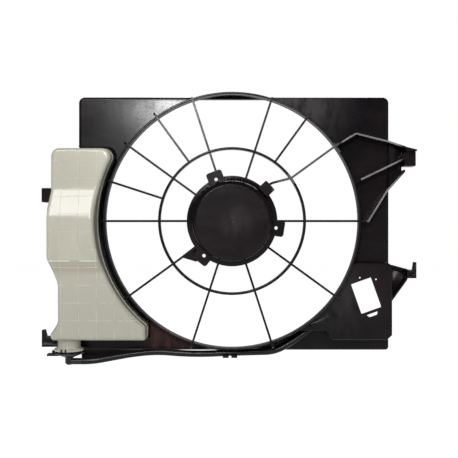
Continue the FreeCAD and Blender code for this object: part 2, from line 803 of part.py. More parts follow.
def make_upper_bracket():
    body = new_body("upper_bracket")
    edge = mm(d.panel_right)
    web(body, ((edge, 117), (262, 111), (262, 79), (edge, 53)), d.rim_back - d.moulding_wall, d.rim_back)
    rib(body, ((158, 114.9), (186, 131), (234.4, 119.1), (264.8, 109)), d.rib_front, d.rim_back)
    rib(body, ((170, 51), (265, 97)), d.rib_front, d.rim_back)
    rib(body, ((205, 0), (233, 45.5), (265, 81.5)), d.rib_front + 4, d.rim_back)
    rib(body, ((185, 0), (206, 0)), d.rib_front + 4, d.rim_back)
    clear_collar(body)
    clear_spoke(body, 0)
    clear_spoke(body, 1)
    fit_between(body, 260, d.panel_front)
    # end of the upper rib, on top of the mount
    web(body, ((260, 105), (277, 105), (277, 107.3), (260, 111.5)), d.rib_front, d.mount_back)


def make_lower_bracket():
    body = new_body("lower_bracket")
    edge = mm(d.panel_right)
    web(body, ((edge, -66), (266, -73), (266, -84.5), (edge, -121)), d.rim_back - d.moulding_wall, d.rim_back)
    rib(body, ((edge, -67), (266, -73.9)), d.mount_front, d.rim_back)
    rib(body, ((edge, -120), (266, -83.8)), d.mount_front, d.rim_back)
    fit_between(body, 264.5, as_size(0))


def make_mount_block(label, left, right, low, high):
    """Block with a bolt hole, where the shroud is fastened to the radiator's side tank."""
    body = new_body(label)
    depth = d.mount_back - d.mount_front
    corners = box(as_size(left), as_size(low), as_size(right), as_size(high), 1.5)
    pad(body, closed(new_sketch(body, "XZ", d.mount_back), corners), depth)
    middle = ((left + right) / 2, (low + high) / 2)
    hole = circle(new_sketch(body, "XZ", d.mount_back - d.mount_hole_depth), middle[0], middle[1], d.mount_hole)
    pocket(body, hole, d.mount_hole_depth)


def make_mount_hook(label, base, upstand):
    """Foot with a groove in its front and a tapered upstand that drops behind the radiator's side tank."""
    body = new_body(label)
    depth = d.mount_back - d.mount_front
    pad(body, closed(new_sketch(body, "XZ", d.mount_back), box(*map(as_size, base))), depth)
    web(body, upstand, d.mount_front, d.mount_front + 12)
    left, low, right, high = base
    third = (high - low) / 3
    groove = box(as_size(left + 2.5), as_size(low + third), as_size(right - 2), as_size(high - third))
    pocket(body, closed(new_sketch(body, "XZ", d.mount_front), groove), 3)


def make_left_arms():
    """Arms from the panel's left edge behind the reservoir to the two left mounts."""
    upper = new_body("left_upper_arm")
    edge = mm(d.panel_left)
    back = d.bay_floor + d.moulding_wall
    web(upper, ((-271, 30), (edge, 26), (edge, 53), (-271, 49)), d.bay_floor, back)
    web(upper, ((-271, 37), (-241, 37), (-241, 41), (-271, 41)), back, back + 7)
    lower = new_body("left_lower_arm")
    back = d.panel_front + d.moulding_wall
    web(lower, ((-262, -189.5), (edge, -190), (edge, -179), (-262, -176)), d.panel_front, back)


def make_hose_clips():
    """Pair of jaws under the collar that hold the hose, open to the front."""
    body = new_body("hose_clips")
    hold = d.hose_radius + 0.9
    width = 9
    for start in (-14, -1):
        y, z = 20, -199.4
        sketch = new_sketch(body, "YZ", start)
        circle(sketch, y, z, hold + 2)
        circle(sketch, y, z, hold)
        pad(body, sketch, width)
        foot = new_sketch(body, "YZ", start)
        closed(foot, box(y + hold, as_size(z), d.panel_front, as_size(z + 6)))
        pad(body, foot, width)
        mouth = new_sketch(body, "YZ", start - 1)
        closed(mouth, box(as_size(y - 9), as_size(z - 3), as_size(y - 3), as_size(z + 3)))
        pocket(body, mouth, width + 2, Reversed=True)
    clear_collar(body)


# Reservoir

def tank_corners(inset):
    """Reservoir outline at the seam, drawn in by inset; its right side is cut back to an arc later."""
    inset = as_size(inset)
    left, waist, bulge = d.tank_left + inset, d.tank_waist + inset, d.tank_bulge + inset
    right, toe = d.tank_right - inset, d.tank_toe - inset
    top, bottom = d.tank_top - inset, d.tank_bottom + inset
    return [
        (right, top, 13 - inset),
        (left, top, 12 - inset),
        (left, as_size(43), 25),
        (bulge, as_size(18), 30),
        (bulge, as_size(-55), 30),
        (waist, as_size(-92), 30),
        (waist, as_size(-150), 12),
        (left, as_size(-166), 6),
        (left, bottom, 6 - inset),
        (toe, bottom, 4 - inset),
        (toe, as_size(-60)),
        (right, as_size(-30)),
    ]


def front_steps(front):
    """What is cut away in front of the reservoir, so that its middle bulges forward."""
    return [
        (d.tank_front - 5, d.tank_top + 10),
        (front + 15, d.tank_top + 10),
        (front + 14, as_size(47), 25),
        (front, as_size(6), 25),
        (front, as_size(-56), 12),
        (front + 10, as_size(-76), 12),
        (front + 11, d.tank_bottom - 10),
        (d.tank_front - 5, d.tank_bottom - 10),
    ]


def tank_form(label, front, back, inset):
    """Solid form of one half of the reservoir: its outside, or with an inset the space in it."""
    body = new_body(label)
    nodes.remove(body)
    faces_front = mm(front) < 0
    plate = pad(body, closed(new_sketch(body, "XZ", back), tank_corners(inset)), back - front)
    if faces_front:
        steps = closed(new_sketch(body, "YZ", d.tank_bulge - 10), front_steps(front))
        pocket(body, steps, 200, Reversed=True)
    sweep = d.tank_sweep + inset
    shaped = pocket(body, circle(new_sketch(body, "XZ", front - 6), 0, 0, sweep), back - front + 12)
    toe, right = mm(d.tank_toe - inset), mm(d.tank_right - inset)
    tips = [(x, sign * math.sqrt(mm(sweep) ** 2 - x ** 2)) for x, sign in ((toe, -1), (right, 1))]
    blunt = dress(body, "Fillet", shaped, upright(*tips), 6 - inset)

    def outer(edge):
        points = [edge.valueAt(place) for place in edge.ParameterRange]
        if faces_front:
            return all(point.y < -5 for point in points) and abs(points[0].y - points[1].y) < 14.5
        return all(abs(point.y - mm(back)) < 0.01 for point in points)

    dress(body, "Fillet", blunt, outer, 6 - inset)
    return body


def make_tank():
    """Two welded shells, and crossing walls inside them that slow the coolant's surge."""
    wall, seam = d.tank_wall, d.tank_seam
    halves = (
        ("front", d.tank_front, seam, d.tank_front + wall, seam),
        ("rear", seam, d.tank_back, seam, d.tank_back - wall),
    )
    for name, front, back, inner_front, inner_back in halves:
        outside = tank_form(f"tank_{name}_outside", front, back, as_size(0))
        inside = tank_form(f"tank_{name}_space", inner_front, inner_back, wall)
        neck = circle(new_sketch(outside, "XY", d.tank_bottom - 1), d.neck_x, d.neck_y, d.neck_bore)
        pocket(outside, neck, 6, Reversed=True)
        shell = doc.addObject("Part::Cut", f"tank_{name}_shell")
        shell.Base, shell.Tool = outside, inside
        shell.Label = f"tank_{name}_shell"
        nodes.append(shell)
        grid = make_grid(name, inner_front, inner_back)
        baffles = doc.addObject("Part::Common", f"{name}_baffles")
        baffles.Base, baffles.Tool = grid, inside
        baffles.Label = f"{name}_baffles"
        nodes.append(baffles)


def make_grid(name, front, back):
    """Crossing walls from one shell nearly to the seam, with a hole for the dip tube."""
    body = new_body(f"{name}_grid")
    nodes.remove(body)
    gap = 1.5
    if mm(front) < 0:
        start, end = front, d.tank_seam - gap
    else:
        start, end = d.tank_seam + gap, back
    depth = end - start
    for row in range(10):
        z = 89 - row * d.baffle_pitch
        bar = box(as_size(-273), z - d.baffle_wall, as_size(-124), z)
        pad(body, closed(new_sketch(body, "XZ", end), bar), depth)
    for column in range(4):
        x = -250.8 + column * d.baffle_pitch
        bar = box(x, d.tank_bottom + 1, x + d.baffle_wall, d.tank_top - 1)
        pad(body, closed(new_sketch(body, "XZ", end), bar), depth)
    tube = circle(new_sketch(body, "XY", d.tank_bottom - 1), d.neck_x, d.neck_y, d.tube_radius + 1.5)
    pocket(body, tube, d.tank_top - d.tank_bottom, Reversed=True)
    return body


def make_neck():
    body = new_body("filler_neck")
    top = d.tank_bottom
    lip = d.lip_bottom + 4
    profile = [
        (d.neck_bore, top),
        (d.neck_radius + 1.5, top),
        (d.neck_radius, top - 3),
        (d.neck_radius, lip + 1),
        (d.lip_radius, lip - 1.5),
        (d.lip_radius, d.lip_bottom),
        (d.neck_bore, d.lip_bottom),
    ]
    turned(body, "Revolution", profile, "XZ")
    place_at_neck(body)


def place_at_neck(body):
    body.setExpression("Placement.Base.x", d.neck_x.words)
    body.setExpression("Placement.Base.y", d.neck_y.words)


def make_cap():
    """Push-in cap with a finger tab and the nipple for the hose."""
    body = new_body("filler_cap")
    plug = d.neck_bore - d.cap_gap
    seat = d.lip_bottom - 1.2
    socket = d.tube_radius
    profile = [
        (as_size(0), d.cap_bottom),
        (as_size(8), d.cap_bottom),
        (d.lip_radius - 1.5, d.cap_bottom + 5),
        (d.lip_radius, d.cap_bottom + 6.5),
        (d.lip_radius, seat),
        (plug, seat),
        (plug, d.lip_bottom + 9),
        (plug - 2, d.lip_bottom + 9),
        (plug - 2, d.cap_floor),
        (socket + 2, d.cap_floor),
        (socket + 2, d.lip_bottom + 4),
        (socket, d.lip_bottom + 4),
        (socket, d.cap_floor),
        (as_size(0), d.cap_floor),
    ]
    turned(body, "Revolution", profile, "XZ")
    tab_top = d.cap_bottom + 5
    tab = closed(new_sketch(body, "XY", tab_top - 3), box(as_size(-32), as_size(-6), as_size(-14), as_size(6)))
    pad(body, tab, 3)
    bump = closed(new_sketch(body, "XY", tab_top), box(as_size(-24.5), as_size(-6), as_size(-22.3), as_size(6)))
    pad(body, bump, 5)
    elbow = circle(new_sketch(body, "XY", d.nipple_z - 5), 0, 0, 6)
    block = pad(body, elbow, d.cap_bottom - d.nipple_z + 5)
    doc.recompute()
    low = mm(d.nipple_z) - 5
    dress(body, "Chamfer", block, lambda edge: all(abs(v.Z - low) < 0.01 for v in edge.Vertexes), 2.5)
    nipple = circle(new_sketch(body, "YZ", 0), 0, d.nipple_z, d.nipple_radius)
    pad(body, nipple, d.nipple_start + 12)
    shoulder = circle(new_sketch(body, "YZ", 0), 0, d.nipple_z, d.hose_radius - 0.2)
    pad(body, shoulder, d.nipple_start + 2.2)
    bore = circle(new_sketch(body, "YZ", d.nipple_start + 13), 0, d.nipple_z, 1.8)
    pocket(body, bore, d.nipple_start + 14)
    rise = circle(new_sketch(body, "XY", d.nipple_z), 0, 0, 1.8)
    pocket(body, rise, 16, Reversed=True)
    place_at_neck(body)


def make_cap_seal():
    body = new_body("cap_seal")
    profile = box(d.neck_bore + 0.5, d.lip_bottom - 1.2, d.lip_radius - 3, d.lip_bottom - 0.1)
    turned(body, "Revolution", profile, "XZ")
    place_at_neck(body)


def make_dip_tube():
    body = new_body("dip_tube")
    sketch = new_sketch(body, "XY", d.cap_floor)
    circle(sketch, 0, 0, d.tube_radius)
    circle(sketch, 0, 0, d.tube_radius - 1.2)
    pad(body, sketch, d.tube_top - d.cap_floor)
    place_at_neck(body)


# Overflow hose

HOSE_ROUTE = (
    (-209, 6, -209.5),
    (-180, 12, -205.0),
    (-148, 17.5, -200.0),
    (-112, 21, -197.4),
    (-76, 21.5, -202.2),
    (-42, 21, -202.6),
    (-6, 20, -199.3),
    (34, 20.5, -198.2),
    (64, 22, -197.8),
    (88, 22.5, -185.4),
    (108, 22.5, -171.5),
    (127, 22, -157),
)


def hose_wire(points):
    """Straight runs joined by the largest tangent arcs that fit."""
    edges = []
    start = points[0]
    radii = []
    for before, corner, after in zip(points, points[1:], points[2:]):
        back, ahead = before - corner, after - corner
        run = min(back.Length, ahead.Length)
        turn = math.pi - back.getAngle(ahead)
        radius = 0.45 * run / math.tan(turn / 2)
        radii.append(radius)
        reach = 0.45 * run
        arrive = corner + back.normalize() * reach
        leave = corner + ahead.normalize() * reach
        centre = corner + (back + ahead).normalize() * (radius / math.cos(turn / 2))
        middle = centre + (corner - centre).normalize() * radius
        edges.append(Part.LineSegment(start, arrive).toShape())
        edges.append(Part.Arc(arrive, middle, leave).toShape())
        start = leave
    edges.append(Part.LineSegment(start, points[-1]).toShape())
    print("hose radii", [round(radius) for radius in radii])
    return Part.Wire(edges)


def swept(wire, radius):
    start = wire.Edges[0].valueAt(0)
    section = Part.Wire([Part.Circle(start, wire.Edges[0].tangentAt(0), radius).toShape()])
    return wire.makePipeShell([section], True, False)


def make_hose():
    """Hose from the cap's nipple along the lower edge and round the collar to behind the platform."""
    first = Vector(mm(d.neck_x + d.nipple_start + 2.4), mm(d.neck_y), mm(d.nipple_z))
    wire = hose_wire([first] + [Vector(*point) for point in HOSE_ROUTE])
    hose = doc.addObject("Part::Feature", "overflow_hose")
    hose.Label = "overflow_hose"
    hose.Shape = swept(wire, mm(d.hose_radius)).cut(swept(wire, mm(d.hose_bore)))
    hose.Placement = Placement()
    nodes.append(hose)
    area = math.pi * (mm(d.hose_radius) ** 2 - mm(d.hose_bore) ** 2)
    print("hose length", round(wire.Length, 1), "volume ratio", round(hose.Shape.Volume / area / wire.Length, 4))


# Build, check and write

make_collar()
make_left_panel()
make_right_panel()
make_bay()
make_side_walls()
make_guard_ring()
make_outer_spokes()
make_short_spokes()
make_inner_spokes()
make_cable_spoke()
make_motor_cup()
make_cable_outlet()
make_platform()
make_upper_bracket()
make_lower_bracket()
make_mount_block("upper_right_mount", 260, 277, 83, 105)
make_mount_block("upper_left_mount", -287, -271, 28.5, 50)
make_mount_hook("lower_right_hook", (264.5, -86, 278, -74), ((273.5, -75), (278, -75), (278, -62), (275.5, -62)))
make_mount_hook("lower_left_hook", (-286.7, -189.5, -262, -175.5), ((-286.7, -176), (-280, -176), (-283, -164.4), (-286.7, -164.4)))
make_left_arms()
make_hose_clips()
make_tank()
make_neck()
make_cap()
make_cap_seal()
make_dip_tube()
make_hose()
doc.recompute()

for item in doc.Objects:
    if "Invalid" in item.State or "Error" in item.State:
        raise RuntimeError(f"{item.Label} failed to build")
    if item.TypeId in ("PartDesign::Pocket", "PartDesign::Groove"):
        if item.BaseFeature.Shape.Volume - item.Shape.Volume < 0.01:
            raise RuntimeError(f"{item.Label} cuts nothing")

os.makedirs("parts", exist_ok=True)
for node in nodes:
    if node.Shape.isNull() or not node.Shape.isValid():
        raise RuntimeError(f"{node.Label} has no valid shape")
    node.Shape.exportStep(f"parts/{node.Label}.step")
print(len(nodes), "nodes written")
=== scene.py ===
import json
import math

import bmesh
import bpy
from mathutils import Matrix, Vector

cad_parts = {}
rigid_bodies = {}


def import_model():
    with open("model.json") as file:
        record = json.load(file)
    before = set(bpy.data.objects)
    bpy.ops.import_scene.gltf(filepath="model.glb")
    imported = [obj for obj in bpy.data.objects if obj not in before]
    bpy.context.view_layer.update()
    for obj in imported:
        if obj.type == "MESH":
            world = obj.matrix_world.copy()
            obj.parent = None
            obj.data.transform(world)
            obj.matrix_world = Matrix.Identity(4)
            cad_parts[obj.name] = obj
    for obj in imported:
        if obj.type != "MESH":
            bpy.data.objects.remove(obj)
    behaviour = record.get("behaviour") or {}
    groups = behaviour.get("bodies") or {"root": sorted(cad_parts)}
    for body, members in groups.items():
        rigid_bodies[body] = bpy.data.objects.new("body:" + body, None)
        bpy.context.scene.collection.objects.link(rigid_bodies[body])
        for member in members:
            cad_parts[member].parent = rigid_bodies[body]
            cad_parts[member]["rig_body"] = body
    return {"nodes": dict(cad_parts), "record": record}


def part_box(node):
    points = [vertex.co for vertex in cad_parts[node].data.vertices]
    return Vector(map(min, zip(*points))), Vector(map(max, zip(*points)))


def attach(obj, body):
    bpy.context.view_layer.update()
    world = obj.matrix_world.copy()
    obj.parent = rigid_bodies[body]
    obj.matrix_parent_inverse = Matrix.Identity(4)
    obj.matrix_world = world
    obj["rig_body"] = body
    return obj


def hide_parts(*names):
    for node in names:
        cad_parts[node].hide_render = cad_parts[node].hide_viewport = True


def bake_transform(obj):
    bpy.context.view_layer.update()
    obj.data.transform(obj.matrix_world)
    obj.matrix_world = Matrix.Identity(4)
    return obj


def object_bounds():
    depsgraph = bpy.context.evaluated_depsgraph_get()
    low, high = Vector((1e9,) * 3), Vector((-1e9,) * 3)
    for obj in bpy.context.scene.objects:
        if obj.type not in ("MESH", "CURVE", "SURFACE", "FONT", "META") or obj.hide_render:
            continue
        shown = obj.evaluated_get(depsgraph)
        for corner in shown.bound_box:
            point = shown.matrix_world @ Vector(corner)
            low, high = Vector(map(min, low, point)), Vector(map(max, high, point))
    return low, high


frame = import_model()
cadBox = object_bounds()
scene = bpy.context.scene
nodeObjects = frame["nodes"]
print("frame loaded:", len(nodeObjects), "nodes")


# Node trees written as sums

class Value:
    # one socket of a tree; arithmetic on it adds Math nodes
    def __init__(self, owner, socket):
        self.owner = owner
        self.socket = socket

    def maths(self, operation, *others):
        inputs = dict(enumerate([self, *others]))
        return self.owner.node("ShaderNodeMath", {"operation": operation}, inputs)

    def __add__(self, other):
        return self.maths("ADD", other)

    def __sub__(self, other):
        return self.maths("SUBTRACT", other)

    def __mul__(self, other):
        return self.maths("MULTIPLY", other)

    def __radd__(self, other):
        return self + other

    def __rmul__(self, other):
        return self * other

    def __rsub__(self, other):
        return self.owner.node("ShaderNodeMath", {"operation": "SUBTRACT"}, {0: other, 1: self})


class Tree:
    # every node of a shader or geometry tree comes from node()
    def node(self, kind, settings=None, inputs=None, output=0):
        made = self.tree.nodes.new(kind)
        for key, value in (settings or {}).items():
            setattr(made, key, value)
        for key, value in (inputs or {}).items():
            if isinstance(value, Value):
                self.tree.links.new(value.socket, made.inputs[key])
            else:
                made.inputs[key].default_value = value
        if not made.outputs:
            return None
        return Value(self, made.outputs[output])

    def parts(self, vector):
        split = self.node("ShaderNodeSeparateXYZ", {}, {0: vector}).socket.node.outputs
        return [Value(self, split[i]) for i in range(3)]

    def vector(self, across, deep, up):
        return self.node("ShaderNodeCombineXYZ", {}, {0: across, 1: deep, 2: up})


class Paint(Tree):
    # one material
    def __init__(self, name):
        self.material = bpy.data.materials.new(name)
        self.material.use_nodes = True
        self.tree = self.material.node_tree
        self.tree.nodes.clear()
        self.place = self.node("ShaderNodeTexCoord", {}, {}, "Object")

    def noise(self, scale, detail, stretch=(1, 1, 1), roughness=0.5):
        spot = self.node("ShaderNodeMapping", {}, {"Vector": self.place, "Scale": stretch})
        settings = {"Vector": spot, "Scale": scale, "Detail": detail, "Roughness": roughness}
        return self.node("ShaderNodeTexNoise", {}, settings, "Fac")

    def between(self, value, low, high, start=0.0, end=1.0):
        settings = {"interpolation_type": "SMOOTHSTEP"}
        return self.node("ShaderNodeMapRange", settings, {0: value, 1: low, 2: high, 3: start, 4: end})

    def away(self, spot, stretch=(1, 1, 1)):
        # distance from a spot, with each axis weighted
        moved = self.node("ShaderNodeVectorMath", {"operation": "SUBTRACT"}, {0: self.place, 1: spot})
        scaled = self.node("ShaderNodeVectorMath", {"operation": "MULTIPLY"}, {0: moved, 1: stretch})
        return self.node("ShaderNodeVectorMath", {"operation": "LENGTH"}, {0: scaled}, "Value")

    def mix(self, factor, first, second):
        return self.node("ShaderNodeMix", {"data_type": "RGBA"}, {0: factor, 6: first, 7: second}, 2)

    def bump(self, height, distance, strength, normal=None):
        inputs = {"Height": height, "Distance": distance, "Strength": strength}
        if normal:
            inputs["Normal"] = normal
        return self.node("ShaderNodeBump", {}, inputs)

    def finish(self, inputs):
        surface = self.node("ShaderNodeBsdfPrincipled", {}, inputs)
        self.node("ShaderNodeOutputMaterial", {}, {"Surface": surface})
        return self.material


class Recipe(Tree):
    # one Geometry Nodes tree with named sizes
    kinds = {int: "NodeSocketInt", float: "NodeSocketFloat", tuple: "NodeSocketVector"}
    sharp = 35  # degrees past which an edge stays sharp

    def __init__(self, name, sizes):
        self.tree = bpy.data.node_groups.new(name, "GeometryNodeTree")
        face = self.tree.interface
        face.new_socket("Geometry", in_out="INPUT", socket_type="NodeSocketGeometry")
        face.new_socket("Geometry", in_out="OUTPUT", socket_type="NodeSocketGeometry")
        self.sizes = sizes
        self.keys = {}
        for key, value in sizes.items():
            kind = self.kinds.get(type(value), "NodeSocketObject")
            self.keys[key] = face.new_socket(key, in_out="INPUT", socket_type=kind).identifier
        self.start = self.tree.nodes.new("NodeGroupInput")

    def size(self, key):
        return Value(self, self.start.outputs[key])

    def wire(self, edges, spacing=None):
        # a round bead along a mesh's edges, or along them in even steps
        line = self.node("GeometryNodeMeshToCurve", {}, {0: edges})
        if spacing:
            line = self.node("GeometryNodeResampleCurve", {"mode": "LENGTH"}, {0: line, "Length": spacing})
        section = {"Resolution": self.size("Sides"), "Radius": self.size("Radius")}
        ring = self.node("GeometryNodeCurvePrimitiveCircle", {}, section)
        swept = {0: line, "Profile Curve": ring, "Fill Caps": True}
        return self.node("GeometryNodeCurveToMesh", {}, swept)

    def made(self, name, result, slot, body, base=None, finish=None):
        # close the tree, apply it and leave a plain mesh piece
        finish = finish or materials[slot]
        real = self.node("GeometryNodeRealizeInstances", {}, {0: result})
        painted = self.node("GeometryNodeSetMaterial", {}, {0: real, "Material": finish})
        self.node("NodeGroupOutput", {}, {0: painted})
        holder = newObject(name, base or bpy.data.meshes.new(name))
        modifier = holder.modifiers.new(name, "NODES")
        modifier.node_group = self.tree
        for key, value in self.sizes.items():
            modifier[self.keys[key]] = value
        mesh = plainMesh(holder, name, finish, self.sharp)
        holder.modifiers.remove(modifier)
        holder.data = mesh
        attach(holder, body)
        print(name, len(mesh.polygons), "faces")


def colour(red, green, blue):
    return (red, green, blue, 1.0)


def plainMesh(drawn, name, finish, sharp):
    # what an object evaluates to, as one smooth mesh with its edges kept
    depsgraph = bpy.context.evaluated_depsgraph_get()
    depsgraph.update()
    mesh = bpy.data.meshes.new_from_object(drawn.evaluated_get(depsgraph))
    mesh.name = name
    mesh.materials.clear()
    mesh.materials.append(finish)
    mesh.shade_smooth()
    mesh.set_sharp_from_angle(angle=math.radians(sharp))
    return mesh


def newObject(name, data):
    made = bpy.data.objects.new(name, data)
    scene.collection.objects.link(made)
    return made


# Materials

moulding = {
    "dark": colour(0.0034, 0.0025, 0.0033),
    "warm": colour(0.0085, 0.0055, 0.0062),
    "dust": colour(0.016, 0.0145, 0.0155),
    # pale colour for painted highlights on edges and on the spoke and rib fronts
    "edge": colour(0.20, 0.19, 0.195),
    "haze": colour(0.060, 0.056, 0.058),
    "rust": colour(0.050, 0.019, 0.015),
    "patches": {"scale": 8.0, "detail": 3.0},
    "brushed": {"scale": 24.0, "detail": 6.0, "stretch": (0.55, 1.0, 1.7), "roughness": 0.7},
    "crossed": {"scale": 28.0, "detail": 6.0, "stretch": (1.8, 1.0, 0.6), "roughness": 0.7},
    "grain": {"scale": 1100.0, "detail": 2.0},
    "patchesFrom": (0.40, 0.62),
    "dustFrom": (0.50, 0.72),
    "dustMix": (0.6, 0.4),  # brushed, crossed
    "streaksFrom": (0.3, 0.6),
    "roughFrom": (0.3, 0.72),
    "grainRoughness": 0.05,
    "dullRoughness": 0.03,
    "coatFrom": (0.38, 0.60),
    "coatMix": (0.5, 0.5),
    "coatWeight": (0.25, 1.0),
    "grainHeight": 0.00002,
    "waveHeight": 0.00012,
    "bumpStrength": 0.5,
    "edgeRadius": 0.0006,
    "edgeSamples": 6,
    "edgeTurn": (0.03, 0.28),  # how far the rounded normal has turned from the face's own
    "edgeShare": 0.08,
    "dustShare": 0.30,
    "shine": 0.13,
    "coatRoughness": 0.20,
    "roughness": (0.19, 0.27),
    # lighter patches: painted sheen on the right upper panel and on the hub, and a lighter patch at the
    # lower right
    "hazes": [
        {"place": (0.100, 0.03, 0.180), "reach": 0.105, "share": 0.75},
        {"place": (0.006, -0.03, -0.004), "reach": 0.034, "share": 0.30},
        {"place": (0.165, 0.01, -0.115), "reach": 0.075, "share": 0.30},
    ],
    "stain": {"place": (-0.100, 0.03, -0.176), "core": 0.0165, "reach": 0.055},
    "polish": {"place": (-0.085, 0.03, 0.178), "reach": 0.15, "stretch": (1.0, 0.4, 1.5)},
    "edgeDepth": (0.028, 0.034),  # the panels' fronts lie at 0.034
    "frontEdges": 0.8,
    "panelEdges": 0.2,
    "coatDepth": (0.028, 0.032),
}

# painted highlight: where one spoke's and the upper bracket's rib fronts are painted pale
paintedHighlights = {
    "ribDepth": (0.024, 0.029),
    "spokeSlope": 34.3,  # the spoke that runs up to the upper bracket
    "spokeOffset": 0.0027,
    "spokeHalf": (0.007, 0.0091),
    "spokeStart": (0.057, 0.062),
    "spokeShare": 0.45,
    "paleShare": (0.55, 1.0),
    "collarReach": 0.203,
    "bracketStart": (0.13, 0.15),
    "bracketEnd": (0.246, 0.258),
    "bracketFoot": (-0.035, 0.0),
    "bracketEdges": 0.6,
    "faceOn": (0.6, 0.9),
}


def highlightPlaces(paint, flat):
    # painted highlight: one spoke and the upper bracket's ribs are painted pale on their fronts, where they
    # catch the light
    across, deep, up = paint.parts(paint.place)
    slope = math.radians(paintedHighlights["spokeSlope"])
    offLine = up * math.cos(slope) - across * math.sin(slope) - paintedHighlights["spokeOffset"]
    onSpoke = 1 - paint.between(offLine.maths("ABSOLUTE"), *paintedHighlights["spokeHalf"])
    onSpoke = onSpoke * paint.between(across, *paintedHighlights["spokeStart"])
    outside = paint.away((0, 0, 0), (1, 0, 1)).maths("GREATER_THAN", paintedHighlights["collarReach"])
    onBracket = outside * paint.between(across, *paintedHighlights["bracketStart"])
    onBracket = onBracket * (1 - paint.between(across, *paintedHighlights["bracketEnd"]))
    onBracket = onBracket * paint.between(up, *paintedHighlights["bracketFoot"])
    ahead = 1 - paint.between(deep, *paintedHighlights["ribDepth"])
    faceOn = paint.between(paint.parts(flat)[1] * -1, *paintedHighlights["faceOn"])
    return (onSpoke * paintedHighlights["spokeShare"]).maths("MAXIMUM", onBracket) * ahead * faceOn, onBracket


def mouldingColour(paint, brushed, crossed, rounded):
    # base colour: warm patches, dust in the streaks, a stain, lighter patches partly painted as sheen, then
    # painted highlights on edges and rib fronts
    deep = paint.parts(paint.place)[1]
    flat = paint.node("ShaderNodeNewGeometry", {}, {}, "Normal")
    facing = paint.node("ShaderNodeVectorMath", {"operation": "DOT_PRODUCT"}, {0: rounded, 1: flat}, "Value")
    inFront = 1 - paint.between(deep, *moulding["edgeDepth"])
    edgeShare = inFront * moulding["frontEdges"] + moulding["panelEdges"]
    edge = paint.between(1 - facing, *moulding["edgeTurn"]) * edgeShare
    patches = paint.noise(**moulding["patches"])
    base = paint.mix(paint.between(patches, *moulding["patchesFrom"]), moulding["dark"], moulding["warm"])
    streaks = brushed * moulding["dustMix"][0] + crossed * moulding["dustMix"][1]
    dusty = paint.between(streaks, *moulding["dustFrom"]) * moulding["dustShare"]
    base = paint.mix(dusty, base, moulding["dust"])
    stain = moulding["stain"]
    stained = 1 - paint.between(paint.away(stain["place"]), stain["core"], stain["reach"])
    streaky = paint.between(crossed, *moulding["streaksFrom"])
    base = paint.mix(stained * streaky, base, moulding["rust"])
    # lighter patches, painted sheen on the right upper panel and the hub
    for haze in moulding["hazes"]:
        near = 1 - paint.between(paint.away(haze["place"]), 0.0, haze["reach"])
        base = paint.mix(near * streaky * haze["share"], base, moulding["haze"])
    paleHighlight, onBracket = highlightPlaces(paint, flat)
    pale = paint.between(crossed, *moulding["streaksFrom"], *paintedHighlights["paleShare"])
    # painted highlight on the fronts of one spoke and the upper bracket's ribs
    base = paint.mix(paleHighlight * pale, base, moulding["edge"])
    # painted highlight along the rounded edges, stronger on the upper bracket
    edgeHighlight = edge * (onBracket * paintedHighlights["bracketEdges"] + moulding["edgeShare"])
    return paint.mix(edgeHighlight, base, moulding["edge"])


def makeMoulding():
    # black talc-filled moulding: fine grain, wiped streaks, one panel wiped to a shine
    paint = Paint("blackMoulding")
    bevel = {"Radius": moulding["edgeRadius"]}
    rounded = paint.node("ShaderNodeBevel", {"samples": moulding["edgeSamples"]}, bevel)
    brushed = paint.noise(**moulding["brushed"])
    crossed = paint.noise(**moulding["crossed"])
    grain = paint.noise(**moulding["grain"])
    polish = moulding["polish"]
    wiped = 1 - paint.between(paint.away(polish["place"], polish["stretch"]), 0.0, polish["reach"])
    rough = paint.between(brushed, *moulding["roughFrom"], *moulding["roughness"])
    rough = rough + (grain - 0.5) * moulding["grainRoughness"] + (1 - wiped) * moulding["dullRoughness"]
    smears = brushed * moulding["coatMix"][0] + crossed * moulding["coatMix"][1]
    coat = wiped * paint.between(smears, *moulding["coatFrom"], *moulding["coatWeight"])
    coat = coat * paint.between(paint.parts(paint.place)[1], *moulding["coatDepth"])
    wavy = paint.bump(brushed + crossed, moulding["waveHeight"], moulding["bumpStrength"], rounded)
    return paint.finish({
        "Base Color": mouldingColour(paint, brushed, crossed, rounded),
        "Roughness": rough,
        "Normal": paint.bump(grain, moulding["grainHeight"], moulding["bumpStrength"], wavy),
        "Specular IOR Level": moulding["shine"],
        "Coat Weight": coat,
        "Coat Roughness": moulding["coatRoughness"],
    })


reservoir = {
    "light": colour(0.436, 0.419, 0.348),
    "shade": colour(0.402, 0.388, 0.322),
    "greenish": colour(0.366, 0.375, 0.303),
    # painted shade colour for the lower part of the wall
    "low": colour(0.345, 0.335, 0.280),
    # painted shade in the hollow under the step
    "brown": colour(0.33, 0.27, 0.20),
    "cloudy": {"scale": 16.0, "detail": 3.0},
    "streaks": {"scale": 40.0, "detail": 3.0, "stretch": (2.0, 1.0, 0.25)},
    "skin": {"scale": 420.0, "detail": 2.0},
    "skinHeight": 0.00003,
    "skinStrength": 0.4,
    "cloudyFrom": (0.35, 0.65),
    "streaksFrom": (0.3, 0.8),
    "streaksShare": 0.4,
    "lowShare": 0.8,
    "hollowFrom": (0.15, 0.8),
    "hollowShare": 0.35,
    "roughFrom": (0.2, 0.8),
    "roughness": (0.19, 0.23),
    "lowFrom": (-0.16, 0.02),
    "hollow": 0.071,  # how far down the hollow under the step lies
    "hollowSharpness": 60,
    "frontDepth": (-0.024, -0.010),
    "scatter": 0.3,
    "scatterColour": (0.9, 0.8, 0.55),
    "scatterDepth": 0.006,
}


